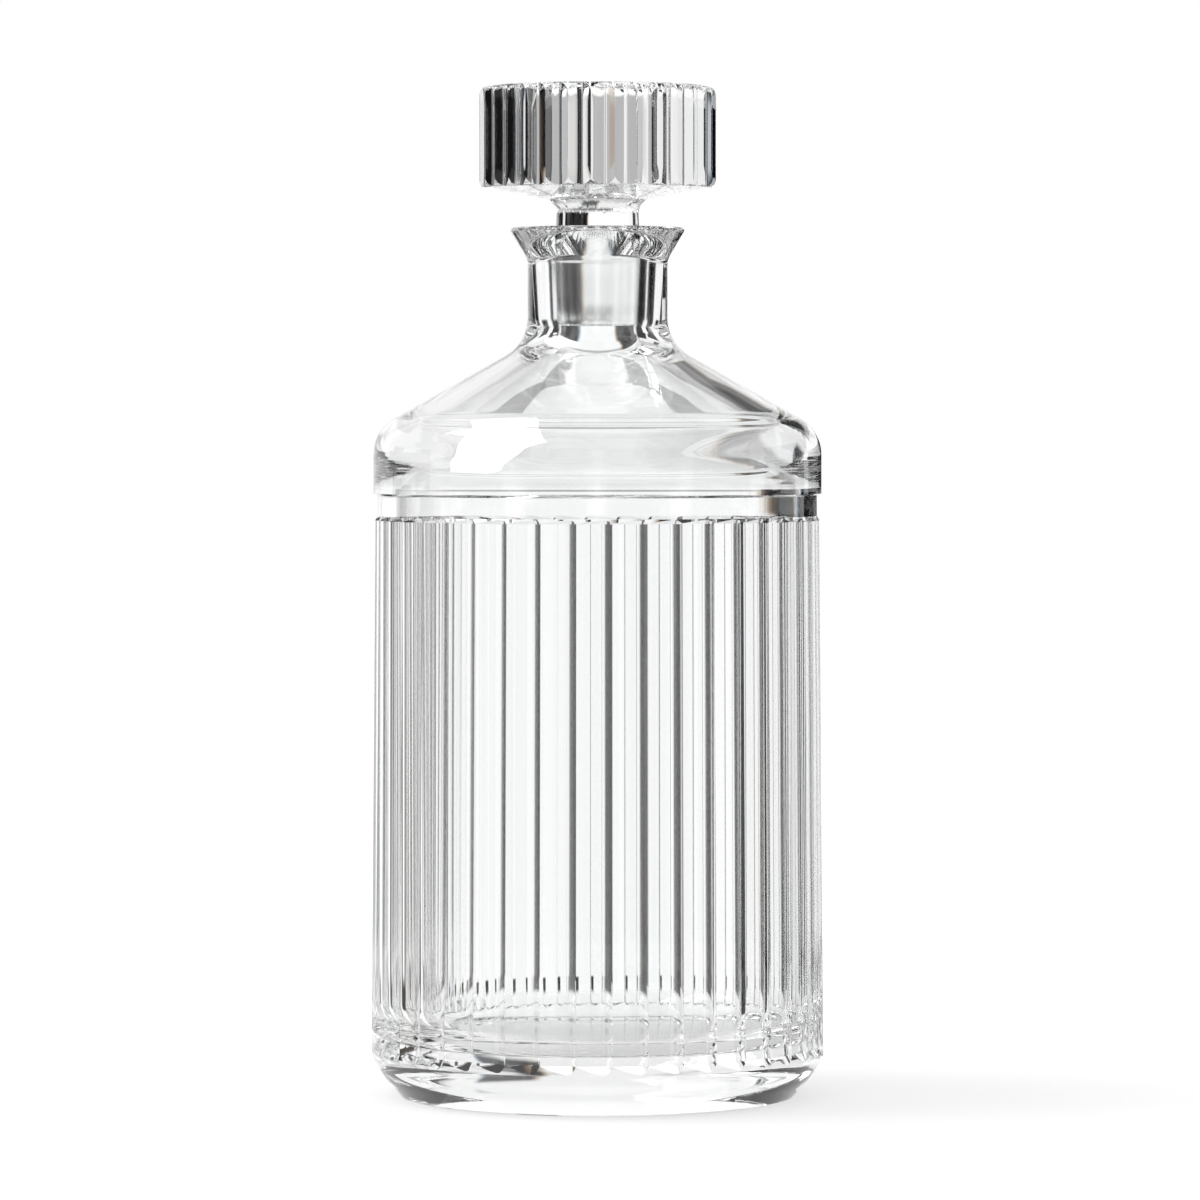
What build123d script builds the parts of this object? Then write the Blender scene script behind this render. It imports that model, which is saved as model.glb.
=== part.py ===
from build123d import *
from math import cos, radians, sin, tan
import os

# Cut crystal decanter: a fluted vessel with a ground bore in its neck, and a fluted stopper with a ground
# plug. Millimetres, +Z up. The origin is the centre of the foot, on the surface that the decanter stands on.

# ---- Driving dimensions of the vessel

foot_radius = 47.2  # edge of the flat ring that the vessel rests on
foot_ring_inner_radius = 38.0
foot_hollow_radius = 30.2
foot_hollow_depth = 1.8  # shallow polished hollow inside the ring
heel_height = 10.0  # the bevelled heel ends here
heel_bevel_radius = 51.7  # the heel is ground in two bevels, which meet here
heel_bevel_height = 5.0
drum_bottom_radius = 54.4  # across the ridges of the flutes
drum_top_radius = 53.3
drum_top = 138.4  # the ridges end here
band_bottom = 139.3
band_radius = 52.7  # plain turned band between the flutes and the shoulder
band_top = 144.2
step_height = 0.5
shoulder_radius = 53.8
shoulder_round_radius = 9.7
shoulder_cone_angle = 29.6  # above the horizontal
shoulder_cone_radius = 40.7  # a point on the cone
shoulder_cone_height = 167.0
neck_radius = 16.8
neck_fillet_radius = 10.3
flare_bottom = 200.6
flare_fillet_radius = 5.0
lip_radius = 21.0
lip_inner_radius = 18.2
lip_top = 208.3
lip_bevel = 0.6

cavity_floor = 13.2
cavity_radius = 48.6
cavity_floor_fillet_radius = 10.5
cavity_shoulder_fillet_radius = 17.5
shoulder_wall = 6.0  # thickness of the glass in the shoulder cone
neck_inner_fillet_radius = 9.0

# ---- The ground joint: a long taper, with the same angle on the plug and in the bore

joint_bottom = 184.0
joint_top = 202.0
plug_bottom_radius = 9.5
plug_top_radius = 10.4
joint_clearance = 0.05  # on the radius, all the way down
funnel_fillet_radius = 2.5

# ---- The flutes: saw-toothed in section, a broad slope down from each ridge and a steep wall up to the next

vessel_flutes = 40
vessel_flute_depth = 1.15
vessel_wall_share = 0.12  # share of the pitch that the steep wall takes
vessel_floor_bevel = 0.7  # takes off the corner between the slope and the steep wall
vessel_first_ridge = -86.3  # degrees from +X, so that one ridge stands just beside the front
lower_run_out = 2.4  # height over which a flute runs out above the heel
upper_run_out_start = 138.2  # just below the drum's top, a flute turns outwards
upper_run_out_slope = 0.6  # and comes out this far per millimetre, so that it ends at the band
upper_run_out = 3.0  # height over which the tool is led on, clear of the band

stopper_flutes = 32
stopper_flute_depth = 1.05
stopper_wall_share = 0.39
stopper_wheel_tip_radius = 0.5
stopper_first_ridge = -81.9

ridge_inset = 0.03  # the ridges are ground this much below the turned drum
tool_margin = 3.0  # how far a cutting tool stands out past the ridges

# ---- Driving dimensions of the stopper

stopper_radius = 28.4
stopper_underside_inner_height = 214.7
stopper_underside_outer_height = 217.7
stopper_lower_edge_width = 1.5
stopper_lower_edge_height = 2.4
stopper_upper_edge = 2.1
stopper_top = 242.0
stem_top_radius = 9.7
stem_bottom_radius = 10.2
stem_bottom = 202.8
stem_fillet_radius = 3.6
plug_edge = 0.8


def on_circle(radius, angle):
    """Point of the XY plane at a radius and an angle in degrees."""
    return Vector(radius * cos(radians(angle)), radius * sin(radians(angle)))


def taper_radius(height):
    """Radius of the plug's taper at a height, which also holds beyond its two ends."""
    slope = (plug_top_radius - plug_bottom_radius) / (joint_top - joint_bottom)
    return plug_bottom_radius + slope * (height - joint_bottom)


def drum_radius(height):
    """Radius of the vessel's drum at a height: it narrows evenly from the heel to the band."""
    slope = (drum_top_radius - drum_bottom_radius) / (drum_top - heel_height)
    return drum_bottom_radius + slope * (height - heel_height)


def cone_height(radius, depth=0.0):
    """Height of the shoulder cone at a radius, or of the parallel cone that lies a depth inside it."""
    slope = tan(radians(shoulder_cone_angle))
    drop = depth / cos(radians(shoulder_cone_angle))
    return shoulder_cone_height - drop - slope * (radius - shoulder_cone_radius)


def flute_points(ridge_radius, pitch, depth, wall_share):
    """Corners of one flute in the XY plane: above its first ridge, its floor, above its second ridge."""
    first_ridge = on_circle(ridge_radius, -pitch / 2)
    second_ridge = on_circle(ridge_radius, pitch / 2)
    floor = on_circle(ridge_radius - depth, pitch / 2 - pitch * wall_share)
    above_first = first_ridge + (first_ridge - floor).normalized() * tool_margin
    above_second = second_ridge + (second_ridge - floor).normalized() * tool_margin
    return above_first, floor, above_second


def bevelled(start, corner, end, distance):
    """The same three points, with the corner taken off at a distance on both its sides."""
    towards_start = (start - corner).normalized()
    towards_end = (end - corner).normalized()
    return start, corner + towards_start * distance, corner + towards_end * distance, end


# ---- The tool that cuts one flute of the vessel: the same section all the way, led along the drum's taper,
# and led outwards at both ends so that the flute runs out

vessel_pitch = 360 / vessel_flutes
vessel_corners = flute_points(
    drum_bottom_radius - ridge_inset, vessel_pitch, vessel_flute_depth, vessel_wall_share
)
vessel_section = bevelled(*vessel_corners, vessel_floor_bevel)
upper_run_out_end = upper_run_out_start + upper_run_out
vessel_stations = [
    (heel_height, vessel_flute_depth + 0.1),
    (heel_height + lower_run_out, drum_radius(heel_height + lower_run_out) - drum_bottom_radius),
    (upper_run_out_start, drum_radius(upper_run_out_start) - drum_bottom_radius),
    (
        upper_run_out_end,
        drum_radius(upper_run_out_end) - drum_bottom_radius + upper_run_out_slope * upper_run_out,
    ),
]

with BuildPart() as vessel_flute_tool:
    for (low, low_shift), (high, high_shift) in zip(vessel_stations, vessel_stations[1:]):
        lead = Vector(high_shift - low_shift, 0, high - low)
        with BuildSketch(Plane(origin=(low_shift, 0, low))):
            with BuildLine():
                Polyline(*vessel_section, close=True)
            make_face()
        extrude(amount=lead.length, dir=lead)

# ---- The tool that cuts one flute of the stopper, straight through from below its drum to above it

stopper_pitch = 360 / stopper_flutes
stopper_section = flute_points(
    stopper_radius - ridge_inset, stopper_pitch, stopper_flute_depth, stopper_wall_share
)
stopper_tool_bottom = stopper_underside_inner_height

with BuildPart() as stopper_flute_tool:
    with BuildSketch(Plane.XY.offset(stopper_tool_bottom)):
        with BuildLine():
            FilletPolyline(*stopper_section, radius=stopper_wheel_tip_radius)
            Line(stopper_section[-1], stopper_section[0])
        make_face()
    extrude(amount=stopper_top + 1 - stopper_tool_bottom)

# ---- Vessel: the turned body with its hollow, then the cut flutes

bore_top_radius = taper_radius(joint_top) + joint_clearance
bore_bottom_height = cone_height(taper_radius(joint_bottom), shoulder_wall)
bore_bottom_radius = taper_radius(bore_bottom_height) + joint_clearance

with BuildPart() as vessel:
    with BuildSketch(Plane.XZ):
        with BuildLine():
            Polyline(
                (0, foot_hollow_depth),
                (foot_hollow_radius, foot_hollow_depth),
                (foot_ring_inner_radius, 0),
                (foot_radius, 0),
                (heel_bevel_radius, heel_bevel_height),
                (drum_bottom_radius, heel_height),
                (drum_top_radius, drum_top),
                (band_radius, band_bottom),
                (band_radius, band_top),
                (shoulder_radius, band_top + step_height),
            )
            FilletPolyline(
                (shoulder_radius, band_top + step_height),
                (shoulder_radius, cone_height(shoulder_radius)),
                (neck_radius, cone_height(neck_radius)),
                (neck_radius, flare_bottom),
                (lip_radius, lip_top - lip_bevel),
                (lip_radius - lip_bevel, lip_top),
                (lip_inner_radius, lip_top),
                (bore_top_radius, joint_top),
                (bore_bottom_radius, bore_bottom_height),
                (cavity_radius, cone_height(cavity_radius, shoulder_wall)),
                (cavity_radius, cavity_floor),
                (0, cavity_floor),
                radius=[
                    shoulder_round_radius,
                    neck_fillet_radius,
                    flare_fillet_radius,
                    0,
                    0,
                    0,
                    funnel_fillet_radius,
                    neck_inner_fillet_radius,
                    cavity_shoulder_fillet_radius,
                    cavity_floor_fillet_radius,
                ],
            )
            Line((0, cavity_floor), (0, foot_hollow_depth))
        make_face()
    revolve(axis=Axis.Z)
    with PolarLocations(0, vessel_flutes, start_angle=vessel_first_ridge + vessel_pitch / 2):
        add(vessel_flute_tool.part, mode=Mode.SUBTRACT)
vessel.part.label = "vessel"

# ---- Stopper: a solid turned drum with its stem and ground plug, then the cut flutes. The two edges of the
# drum are rounded over in two bevels each

lower_bevels = [
    (
        stopper_radius - stopper_lower_edge_width * (1 - turn.X),
        stopper_underside_outer_height + stopper_lower_edge_height * (1 - turn.Y),
    )
    for turn in (on_circle(1, angle) for angle in (90, 45, 0))
]
upper_bevels = [
    (stopper_radius - stopper_upper_edge * (1 - turn.X), stopper_top - stopper_upper_edge * (1 - turn.Y))
    for turn in (on_circle(1, angle) for angle in (0, 45, 90))
]

with BuildPart() as stopper:
    with BuildSketch(Plane.XZ):
        with BuildLine():
            FilletPolyline(
                (0, joint_bottom),
                (plug_bottom_radius - plug_edge, joint_bottom),
                (plug_bottom_radius, joint_bottom + plug_edge),
                (plug_top_radius, joint_top),
                (stem_bottom_radius, stem_bottom),
                (stem_top_radius, stopper_underside_inner_height),
                lower_bevels[0],
                radius=[0, 0, 0, 0, stem_fillet_radius],
            )
            Polyline(*lower_bevels, *upper_bevels, (0, stopper_top), (0, joint_bottom))
        make_face()
    revolve(axis=Axis.Z)
    with PolarLocations(0, stopper_flutes, start_angle=stopper_first_ridge + stopper_pitch / 2):
        add(stopper_flute_tool.part, mode=Mode.SUBTRACT)
stopper.part.label = "stopper"

os.makedirs("parts", exist_ok=True)
export_step(vessel.part, "parts/vessel.step")
export_step(stopper.part, "parts/stopper.step")
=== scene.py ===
from math import asin, atan2, cos, hypot, pi, radians, sin, tan

import bpy
from mathutils import Matrix, Vector


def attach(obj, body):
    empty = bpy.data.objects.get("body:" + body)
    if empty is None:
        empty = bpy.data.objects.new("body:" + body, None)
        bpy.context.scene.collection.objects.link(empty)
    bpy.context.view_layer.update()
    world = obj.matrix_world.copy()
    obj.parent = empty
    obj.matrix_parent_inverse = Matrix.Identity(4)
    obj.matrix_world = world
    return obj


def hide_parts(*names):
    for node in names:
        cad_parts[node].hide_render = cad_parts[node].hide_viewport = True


# Cut crystal decanter and its stopper. Metres, +Z up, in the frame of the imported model. The outlines are
# written in millimetres, as a cutter would give them, and MM turns them into metres.

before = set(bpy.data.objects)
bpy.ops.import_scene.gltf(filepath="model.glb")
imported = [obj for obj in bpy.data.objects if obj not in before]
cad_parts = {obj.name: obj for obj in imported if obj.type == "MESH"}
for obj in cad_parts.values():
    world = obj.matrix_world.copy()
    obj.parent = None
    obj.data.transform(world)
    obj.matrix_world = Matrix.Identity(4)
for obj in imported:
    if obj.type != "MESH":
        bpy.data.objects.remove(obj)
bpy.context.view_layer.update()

MM = 0.001


# ---------------------------------------------------------------------------------------- node trees

class Socket:
    """A node's output, with the arithmetic that shader maths needs."""

    def __init__(self, graph, output):
        self.graph = graph
        self.output = output

    def maths(self, operation, *values):
        """A Math node on this value and the others."""
        return self.graph.add("ShaderNodeMath", {"operation": operation}, dict(enumerate((self, *values))))

    def __add__(self, other):
        return self.maths("ADD", other)

    __radd__ = __add__

    def __mul__(self, other):
        return self.maths("MULTIPLY", other)

    __rmul__ = __mul__

    def __sub__(self, other):
        return self.maths("SUBTRACT", other)

    def __rsub__(self, other):
        return (self * -1) + other

    def __pow__(self, other):
        return self.maths("POWER", other)

    def larger(self, other):
        return self.maths("MAXIMUM", other)

    def step(self, start, end):
        """0 before start, 1 after end, and an even curve between them; start may be the larger one."""
        return self.graph.add(
            "ShaderNodeMapRange",
            {"interpolation_type": "SMOOTHSTEP"},
            {"Value": self, "From Min": start, "From Max": end, "To Min": 0.0, "To Max": 1.0},
        )

    def window(self, low, high, edge):
        """1 between low and high, falling to 0 over the width of the edge."""
        return self.step(low - edge, low) * self.step(high + edge, high)


class Graph:
    """A node tree that is filled one node at a time."""

    def __init__(self, tree):
        self.tree = tree

    def add(self, kind, settings=None, sockets=None, output=0):
        """A new node: its settings first, then the values or links of its sockets. Gives one output."""
        node = self.tree.nodes.new(kind)
        for name, value in (settings or {}).items():
            setattr(node, name, value)
        for name, value in (sockets or {}).items():
            self.join(value, node.inputs[name])
        return Socket(self, node.outputs[output])

    def join(self, value, socket):
        if isinstance(value, Socket):
            self.tree.links.new(value.output, socket)
        else:
            socket.default_value = value


def material_graph(name):
    """A new material, its empty graph and the socket of its surface."""
    material = bpy.data.materials.new(name)
    material.use_nodes = True
    material.node_tree.nodes.clear()
    surface = material.node_tree.nodes.new("ShaderNodeOutputMaterial").inputs["Surface"]
    return material, Graph(material.node_tree), surface


def ray_mask(graph, *kinds):
    """1 for the rays of these kinds and 0 for all others."""
    ray = graph.tree.nodes.new("ShaderNodeLightPath")
    mask = Socket(graph, ray.outputs[kinds[0]])
    for kind in kinds[1:]:
        mask = mask.larger(Socket(graph, ray.outputs[kind]))
    return mask


# ---------------------------------------------------------------------------------------- turned outlines

def rounded(corners):
    """Points (radius, height) of an outline whose corners are (radius, height, rounding, steps)."""
    points = []
    for i, (r, z, rounding, steps) in enumerate(corners):
        corner = Vector((r, z))
        if not rounding:
            points.append(tuple(corner))
            continue
        back = (Vector(corners[i - 1][:2]) - corner).normalized()
        ahead = (Vector(corners[i + 1][:2]) - corner).normalized()
        half = back.angle(ahead) / 2
        centre = corner + (back + ahead).normalized() * (rounding / sin(half))
        start = corner + back * (rounding / tan(half)) - centre
        end = corner + ahead * (rounding / tan(half)) - centre
        sweep = -start.angle_signed(end)
        points += [tuple(centre + Matrix.Rotation(sweep * k / steps, 2) @ start) for k in range(steps + 1)]
    return points


def divided(points, longest):
    """The same outline with its long straight runs divided."""
    result = [points[0]]
    for (r0, z0), (r1, z1) in zip(points, points[1:]):
        parts = max(1, round(hypot(r1 - r0, z1 - z0) / longest))
        result += [(r0 + (r1 - r0) * k / parts, z0 + (z1 - z0) * k / parts) for k in range(1, parts + 1)]
    return result


# ---------------------------------------------------------------------------------------- cut flutes

class Flute:
    """Section of one flute: a broad slope down from its first ridge, and a steep wall up to the second."""

    def __init__(self, ridge_radius, count, depth, wall_share, tip_radius, panel_step, wall_step):
        """The steep wall takes wall_share of the pitch; the two steps set how finely the section is drawn."""
        self.count = count
        self.pitch = 2 * pi / count
        first = self.on_circle(ridge_radius, -self.pitch / 2)
        floor = self.on_circle(ridge_radius - depth, self.pitch * (0.5 - wall_share))
        second = self.on_circle(ridge_radius, self.pitch / 2)
        section = rounded([(*first, 0, 0), (*floor, tip_radius, 5), (*second, 0, 0)])
        panel, wall = divided(section[:2], panel_step), divided(section[-2:], wall_step)
        section = panel + section[2:-2] + wall
        self.angles = [atan2(y, x) for x, y in section]
        self.depths = [ridge_radius - hypot(x, y) for x, y in section]

    @staticmethod
    def on_circle(radius, angle):
        return radius * cos(angle), radius * sin(angle)


RIDGE_INSET = 0.03  # the ridges are ground this much below the turned drum
DRUM_BOTTOM_RADIUS = 54.4  # across the ridges
DRUM_TOP_RADIUS = 53.3
STOPPER_RADIUS = 28.4
VESSEL_FLUTE = Flute(DRUM_BOTTOM_RADIUS - RIDGE_INSET, 40, 1.15, 0.12, 2.6, 1.2, 0.6)
STOPPER_FLUTE = Flute(STOPPER_RADIUS - RIDGE_INSET, 32, 1.05, 0.39, 0.5, 0.8, 0.6)
VESSEL_FIRST_RIDGE = -86.3  # degrees from +X, so that one ridge stands just beside the front
STOPPER_FIRST_RIDGE = -81.9

HEEL_TOP = 10.0
LOWER_RUN_OUT = 2.4  # height over which a flute runs out above the heel
LOWER_RISE = 1.25  # how far it comes out there
UPPER_RUN_OUT_START = 138.2  # just below the drum's top, a flute turns outwards
UPPER_SLOPE = 0.6  # and comes out this far per millimetre, so that it ends at the band
DRUM_TOP = 138.4
BAND_BOTTOM = 139.3
BAND_RADIUS = 52.7
DRUM_ROWS = 8  # rows of faces along the drum


def drum_radius(z):
    """Radius of the vessel's drum across its ridges: it narrows evenly from the heel to the band."""
    narrowing = DRUM_BOTTOM_RADIUS - DRUM_TOP_RADIUS
    return DRUM_BOTTOM_RADIUS - narrowing * (z - HEEL_TOP) / (DRUM_TOP - HEEL_TOP)


def fluted_rows(depth):
    """Rows (radius, height) of one column of the drum, from the heel's top to the band's lower edge."""
    full = depth + RIDGE_INSET
    low = HEEL_TOP + LOWER_RUN_OUT * (1 - full / LOWER_RISE)
    high = UPPER_RUN_OUT_START + full / UPPER_SLOPE
    top_slope = (drum_radius(DRUM_TOP) - BAND_RADIUS) / (BAND_BOTTOM - DRUM_TOP)
    past_top = (full - UPPER_SLOPE * (DRUM_TOP - UPPER_RUN_OUT_START)) / (UPPER_SLOPE + top_slope)
    if past_top > 0:
        high = DRUM_TOP + past_top
    end = (drum_radius(min(high, DRUM_TOP)) - top_slope * max(0, past_top), high)
    bottom = HEEL_TOP + LOWER_RUN_OUT
    heights = [bottom + (UPPER_RUN_OUT_START - bottom) * k / DRUM_ROWS for k in range(DRUM_ROWS + 1)]
    rows = [(drum_radius(HEEL_TOP), HEEL_TOP), (drum_radius(low), low)]
    rows += [(drum_radius(z) - full, z) for z in heights]
    rows += [end, end if past_top > 0 else (drum_radius(DRUM_TOP), DRUM_TOP), (BAND_RADIUS, BAND_BOTTOM)]
    return rows


# ---------------------------------------------------------------------------------------- the two outlines

CONE_ANGLE = radians(29.6)  # above the horizontal
CONE_POINT = (40.7, 167.0)  # radius and height of a point on the shoulder cone
SHOULDER_WALL = 6.0  # thickness of the glass there


def cone(radius, inside=0.0):
    """Height of the shoulder cone, or of the cone that lies this far inside it, at a radius."""
    return CONE_POINT[1] - inside / cos(CONE_ANGLE) - (radius - CONE_POINT[0]) * tan(CONE_ANGLE)


# Corners are (radius, height, rounding, steps in the rounding), in the order in which a point would travel
# from under the foot, up the outside, over the lip and down the inside.
VESSEL_BELOW = rounded([
    (0, 1.8, 0, 0),  # the hollow under the foot
    (30.2, 1.8, 6, 3),
    (38.0, 0, 0.6, 2),  # the ring that it stands on
    (47.2, 0, 0.8, 2),
    (51.7, 5.0, 20, 4),  # the heel
    (DRUM_BOTTOM_RADIUS, HEEL_TOP, 0, 0),
])[:-1]
VESSEL_ABOVE = divided(rounded([
    (BAND_RADIUS, 144.2, 0, 0),
    (53.8, 144.7, 0, 0),  # the step above the band
    (53.8, cone(53.8), 9.7, 10),
    (16.8, cone(16.8), 10.3, 10),
    (16.8, 200.6, 5, 6),
    (21.0, 207.7, 0.6, 3),  # the lip
    (20.4, 208.3, 0.4, 2),
    (18.2, 208.3, 0.5, 3),
    (10.45, 202.0, 2.5, 5),  # the ground bore
    (9.24, cone(9.24, SHOULDER_WALL), 9.0, 8),
    (48.6, cone(48.6, SHOULDER_WALL), 17.5, 12),
    (48.6, 13.2, 10.5, 10),  # the floor of the hollow
    (0, 13.2, 0, 0),
]), 14)

STOPPER_BELOW = divided(rounded([
    (0, 184.0, 0, 0),  # the ground plug
    (8.9, 184.0, 0, 0),
    (9.54, 184.8, 0, 0),
    (10.4, 202.0, 0, 0),
    (10.2, 202.8, 0, 0),  # the stem
    (9.7, 214.7, 3.6, 7),
    (26.9, 217.7, 0, 0),  # the underside of the drum
]), 6)
LOWER_EDGE = (1.5, 2.4)  # half axes of the rounding at the drum's lower edge
UPPER_EDGE = 2.1
STOPPER_LOWER_EDGE_TOP = 217.7 + LOWER_EDGE[1]
STOPPER_TOP = 242.0


def vessel_rows(depth):
    """Every row of one column of the vessel, from under the foot over the lip to the middle of its floor."""
    return VESSEL_BELOW + fluted_rows(depth) + VESSEL_ABOVE


def stopper_rows(depth):
    """Every row of one column of the stopper, from under its plug to the middle of its top."""
    radius = STOPPER_RADIUS - RIDGE_INSET - depth
    width, height = LOWER_EDGE
    lower = asin(max(0.0, (radius - STOPPER_RADIUS + width) / width))
    upper = asin((radius - STOPPER_RADIUS + UPPER_EDGE) / UPPER_EDGE)
    lower_turns = [lower * k / 6 for k in range(1, 7)]
    upper_turns = [upper * k / 7 for k in range(7, 0, -1)]
    low = [
        (STOPPER_RADIUS - width * (1 - sin(turn)), STOPPER_LOWER_EDGE_TOP - height * cos(turn))
        for turn in lower_turns
    ]
    high = [
        (STOPPER_RADIUS - UPPER_EDGE * (1 - sin(turn)), STOPPER_TOP - UPPER_EDGE * (1 - cos(turn)))
        for turn in upper_turns
    ]
    cut = divided([low[-1], high[0]], 4)[1:-1]
    top = [((STOPPER_RADIUS - UPPER_EDGE) * k / 5, STOPPER_TOP) for k in range(5, -1, -1)]
    return STOPPER_BELOW + low + cut + high + top


def sector(name, flute, rows):
    """One flute's share of a piece, from its foot to its other end, as an open strip on +X."""
    columns = [rows(depth) for depth in flute.depths]
    count = min(len(column) for column in columns)
    vertices = [
        (r * cos(angle) * MM, r * sin(angle) * MM, z * MM)
        for angle, column in zip(flute.angles, columns)
        for r, z in column
    ]
    faces = [
        (c * count + k, (c + 1) * count + k, (c + 1) * count + k + 1, c * count + k + 1)
        for c in range(len(columns) - 1)
        for k in range(count - 1)
    ]
    mesh = bpy.data.meshes.new(name)
    mesh.from_pydata(vertices, [], faces)
    return mesh


SHARP_ANGLE = radians(11)  # edges that turn further than this stay crisp


def set_round(name, mesh, flute, first_ridge, material):
    """The whole piece: its sector set round the axis once for each flute and joined up, as a plain mesh."""
    tree = bpy.data.node_groups.new(name + " set round", "GeometryNodeTree")
    inputs = {
        label: tree.interface.new_socket(label, in_out="INPUT", socket_type="NodeSocket" + kind)
        for label, kind in (
            ("Sector", "Geometry"),
            ("Flutes", "Int"),
            ("First flute", "Float"),
            ("Joining distance", "Float"),
        )
    }
    tree.interface.new_socket("Piece", in_out="OUTPUT", socket_type="NodeSocketGeometry")
    graph = Graph(tree)
    given = tree.nodes.new("NodeGroupInput")
    count, first, near = (Socket(graph, given.outputs[i]) for i in (1, 2, 3))
    points = graph.add("GeometryNodePoints", None, {"Count": count})
    turn = graph.add("GeometryNodeInputIndex") * (2 * pi / flute.count) + first
    rotation = graph.add("ShaderNodeCombineXYZ", None, {"Z": turn})
    copies = graph.add("GeometryNodeInstanceOnPoints", None, {
        "Points": points, "Instance": Socket(graph, given.outputs[0]), "Rotation": rotation,
    })
    solid = graph.add("GeometryNodeRealizeInstances", None, {"Geometry": copies})
    joined = graph.add("GeometryNodeMergeByDistance", None, {"Geometry": solid, "Distance": near})
    finished = graph.add("GeometryNodeSetMaterial", None, {"Geometry": joined, "Material": material})
    graph.join(finished, tree.nodes.new("NodeGroupOutput").inputs[0])

    piece = bpy.data.objects.new(name, mesh)
    bpy.context.scene.collection.objects.link(piece)
    modifier = piece.modifiers.new("set round", "NODES")
    modifier.node_group = tree
    modifier[inputs["Flutes"].identifier] = flute.count
    modifier[inputs["First flute"].identifier] = radians(first_ridge) + flute.pitch / 2
    modifier[inputs["Joining distance"].identifier] = 0.004 * MM
    plain = bpy.data.meshes.new_from_object(piece.evaluated_get(bpy.context.evaluated_depsgraph_get()))
    piece.modifiers.clear()
    piece.data = plain
    plain.name = name
    plain.shade_smooth()
    plain.set_sharp_from_angle(angle=SHARP_ANGLE)
    return piece


# ---------------------------------------------------------------------------------------- finishes

JOINT_HEIGHTS = (183.9, 202.1)  # where plug and bore are ground
JOINT_RADIUS = 10.6
JOINT_ROUGHNESS = 0.11


def crystal(name):
    """Clear polished crystal, with the satin finish of the ground joint on the plug and in the bore."""
    material, graph, surface = material_graph(name)
    place = graph.add("ShaderNodeTexCoord", output="Object")
    apart = graph.tree.nodes.new("ShaderNodeSeparateXYZ")
    graph.join(place, apart.inputs[0])
    x, y, z = (Socket(graph, output) for output in apart.outputs)
    radius = (x * x + y * y) ** 0.5
    low, high = JOINT_HEIGHTS
    within = radius.step((JOINT_RADIUS + 0.3) * MM, JOINT_RADIUS * MM)
    ground = z.window(low * MM, high * MM, 0.3 * MM) * within
    glass = graph.add("ShaderNodeBsdfPrincipled", None, {
        "Base Color": (0.985, 0.99, 0.99, 1),
        "Transmission Weight": 1,
        "IOR": 1.545,
        "Roughness": ground * JOINT_ROUGHNESS,
    })
    clear = graph.add("ShaderNodeBsdfTransparent", None, {"Color": (0.86, 0.86, 0.86, 1)})
    passing = ray_mask(graph, "Is Shadow Ray", "Is Diffuse Ray")
    graph.join(graph.add("ShaderNodeMixShader", None, {0: passing, 1: glass, 2: clear}), surface)
    return material


vessel_sector = sector("vessel sector", VESSEL_FLUTE, vessel_rows)
vessel = set_round("cut_vessel", vessel_sector, VESSEL_FLUTE, VESSEL_FIRST_RIDGE, crystal("crystal"))
stopper_sector = sector("stopper sector", STOPPER_FLUTE, stopper_rows)
stopper_crystal = crystal("stopper crystal")
stopper = set_round("cut_stopper", stopper_sector, STOPPER_FLUTE, STOPPER_FIRST_RIDGE, stopper_crystal)

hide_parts("vessel")
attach(vessel, "vessel")
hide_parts("stopper")
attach(stopper, "stopper")

# ---------------------------------------------------------------------------------------- studio

scene = bpy.context.scene

CAMERA_PLACE = (0, -1.504, 0.1663)
CAMERA_TILT = radians(88.2)  # from straight down
CAMERA_LENS = 188.01
CAMERA_SHIFT = 0.00208
KEY_PLACE = (-0.78, 0.0, 1.3)  # above and to the left, so that the shadow falls to the right
KEY_SIDE = 0.7
KEY_POWER = 8
FLOOR_REACH = 4
FLOOR_DROP = 0.0002  # keeps the floor clear of the foot


def placed(name, data, location=(0, 0, 0)):
    """A new object at a place."""
    thing = bpy.data.objects.new(name, data)
    scene.collection.objects.link(thing)
    thing.location = location
    return thing


lens = bpy.data.cameras.new("camera")
lens.sensor_width = 36
lens.lens = CAMERA_LENS
lens.shift_x = CAMERA_SHIFT
scene.camera = placed("camera", lens, CAMERA_PLACE)
scene.camera.rotation_euler = (CAMERA_TILT, 0, 0)

key_light = bpy.data.lights.new("key", "AREA")
key_light.shape = "SQUARE"
key_light.size = KEY_SIDE
key_light.energy = KEY_POWER
key = placed("key", key_light, KEY_PLACE)
key.rotation_euler = (Vector((0, 0, 0.1)) - key.location).to_track_quat("-Z", "Y").to_euler()


def floor_paper():
    """White paper that keeps the shadow and turns plain white further out. Glass shows only the near part."""
    material, graph, surface = material_graph("floor")
    in_sight = ray_mask(graph, "Is Camera Ray", "Is Glossy Ray", "Is Transmission Ray")
    in_glass = ray_mask(graph, "Is Glossy Ray", "Is Transmission Ray")
    place = graph.add("ShaderNodeTexCoord", output="Object")
    distance = graph.add("ShaderNodeVectorMath", {"operation": "LENGTH"}, {0: place}, output="Value")
    whitening = in_sight * (0.015 + 0.125 * distance.step(0.15, 0.6))
    matt = graph.add("ShaderNodeBsdfDiffuse", None, {"Color": (0.95, 0.95, 0.95, 1)})
    white = graph.add("ShaderNodeEmission", None, {"Color": (1, 1, 1, 1), "Strength": 2.0})
    lit = graph.add("ShaderNodeMixShader", None, {0: whitening, 1: matt, 2: white})
    open_air = graph.add("ShaderNodeBsdfTransparent")
    beyond = distance.step(0.085, 0.11) * in_glass
    graph.join(graph.add("ShaderNodeMixShader", None, {0: beyond, 1: lit, 2: open_air}), surface)
    return material


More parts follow.
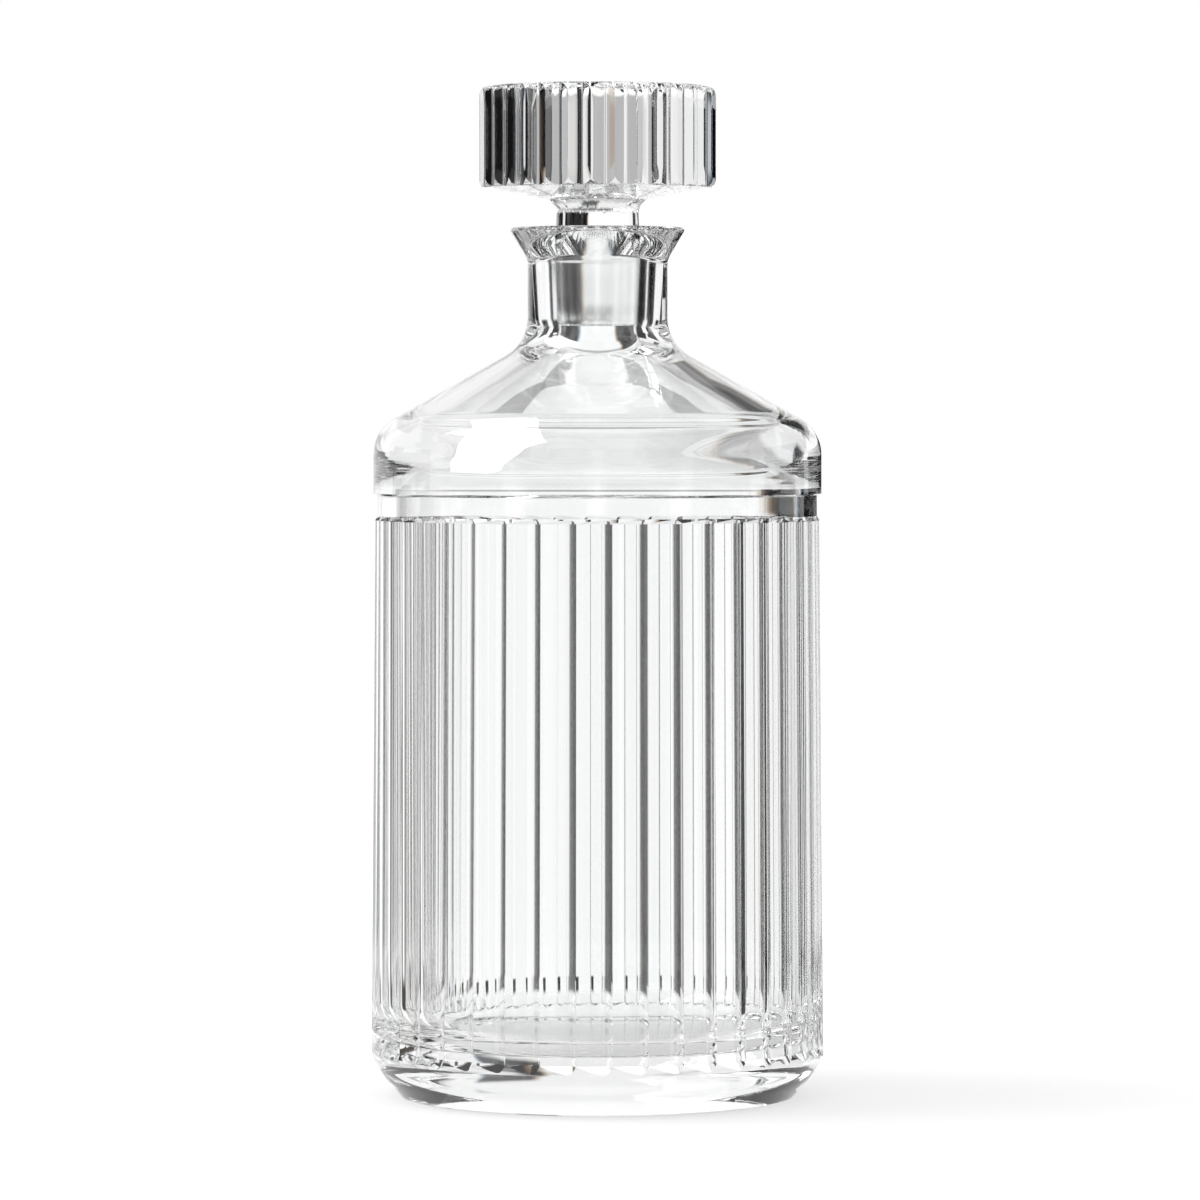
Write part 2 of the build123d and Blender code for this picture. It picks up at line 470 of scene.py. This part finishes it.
corner_signs = ((-1, -1), (1, -1), (1, 1), (-1, 1))
floor_corners = [(x * FLOOR_REACH, y * FLOOR_REACH, -FLOOR_DROP) for x, y in corner_signs]
floor_mesh = bpy.data.meshes.new("floor")
floor_mesh.from_pydata(floor_corners, [], [(0, 1, 2, 3)])
floor_mesh.materials.append(floor_paper())
floor = placed("floor", floor_mesh)

world = bpy.data.worlds.new("studio")
scene.world = world
world.use_nodes = True
world.node_tree.nodes.clear()
graph = Graph(world.node_tree)
direction = graph.add("ShaderNodeTexCoord", output="Generated")
apart = graph.tree.nodes.new("ShaderNodeSeparateXYZ")
graph.join(direction, apart.inputs[0])
x, y, z = (Socket(graph, output) for output in apart.outputs)
bearing = x.maths("ARCTAN2", y) * (180 / pi)  # degrees, 0 behind the decanter and positive to its right
height = z.maths("ARCSINE") * (180 / pi)  # degrees above the level of the eye

PAPER_WHITE = 1.1  # brightness of the paper that stands round the decanter
PAPER_SHADE = 0.18  # how much darker it is from a little above the eye upwards
PAINTED_FRINGE = 0.12  # degrees by which the studio's red and blue are turned aside: colour fringes painted at the edges of the flags, standing in for dispersion, since the crystal bends all colours alike

# The drum, the stopper and the sides show the studio at different heights. Bearings near 0, 45, 90, 135 and
# 180 degrees either way stay light, so that the crystal is clear in the middle from there.
drum_heights = height.window(-9, 1.5, 0.5)
stopper_heights = height.window(1.8, 4, 0.4)
side_heights = height.window(-9, 10, 4)
room_heights = height.window(-9, 20, 4)


def darkest(first, *others):
    """Flags that may stand in front of each other."""
    for other in others:
        first = first.larger(other)
    return first


def studio_light(bearing):
    """How bright the studio is on a bearing: white paper, with black flags that draw lines in the glass."""
    gap = 1 - 0.9 * bearing.window(42.5, 47.5, 1)
    dark = darkest(
        # black flag to the right behind the drum, with a narrow gap
        bearing.window(11, 84, 3) * gap * drum_heights,
        bearing.window(50, 83, 3) * height.window(-9, 14, 3),
        # two narrow flags to the left of the drum
        darkest(bearing.window(-60, -51, 2), bearing.window(-84, -74, 2)) * height.window(-9, 9, 3) * 0.95,
        # flags on both sides of the stopper and the neck
        darkest(bearing.window(10, 41, 3), bearing.window(-80, -48, 6)) * height.window(0.3, 4.6, 0.4),
        bearing.window(-132, -102, 4) * stopper_heights,
        # grey paper behind the stopper
        (0.16 + 0.38 * bearing.window(-6, 14, 5)) * stopper_heights,
        # small flag that darkens the right outline of the shoulder
        bearing.window(13, 24, 3) * height.window(17, 30, 4) * 0.9,
        # ring of flags below the eye, one in every 45 degrees, for views from above
        bearing.maths("PINGPONG", 22.5).step(7, 10) * height.window(-60, -9.5, 2),
        # the room on the side of the eye
        darkest(bearing.window(-172, -144, 10), bearing.window(143, 172, 10)) * room_heights * 0.9,
        bearing.window(97, 129, 3) * side_heights * 0.85,
        bearing.window(-129, -96, 3) * side_heights * 0.6,
        # ceiling
        bearing.window(-25, 100, 6) * height.window(32, 50, 4) * 0.35,
        height.step(46, 56) * 0.85,
    )
    return (1 - dark) * (PAPER_WHITE - PAPER_SHADE * height.step(4, 12)) + 0.003


# The studio is drawn three times, turned a little each way, for red, green and blue: painted colour fringes
# at the flags' edges, which show in the glass as painted rainbow glints.
red, green, blue = (studio_light(bearing + shift) for shift in (-PAINTED_FRINGE, 0, PAINTED_FRINGE))
seen_in_glass = graph.add("ShaderNodeCombineColor", None, {"Red": red, "Green": green, "Blue": blue})
in_glass = ray_mask(graph, "Is Glossy Ray", "Is Transmission Ray")
room_light = (0.9, 0.9, 0.9, 1)
color_mix = {"data_type": "RGBA"}
around = graph.add("ShaderNodeMix", color_mix, {0: in_glass, 6: room_light, 7: seen_in_glass}, output=2)
to_camera = ray_mask(graph, "Is Camera Ray")
color = graph.add("ShaderNodeMix", color_mix, {0: to_camera, 6: around, 7: (1, 1, 1, 1)}, output=2)
shade = graph.add("ShaderNodeBackground", None, {"Color": color, "Strength": 1.0})
graph.join(shade, world.node_tree.nodes.new("ShaderNodeOutputWorld").inputs["Surface"])

scene.view_settings.view_transform = "Standard"
scene.cycles.max_bounces = 32
scene.cycles.transmission_bounces = 24
scene.cycles.glossy_bounces = 16
scene.cycles.transparent_max_bounces = 24
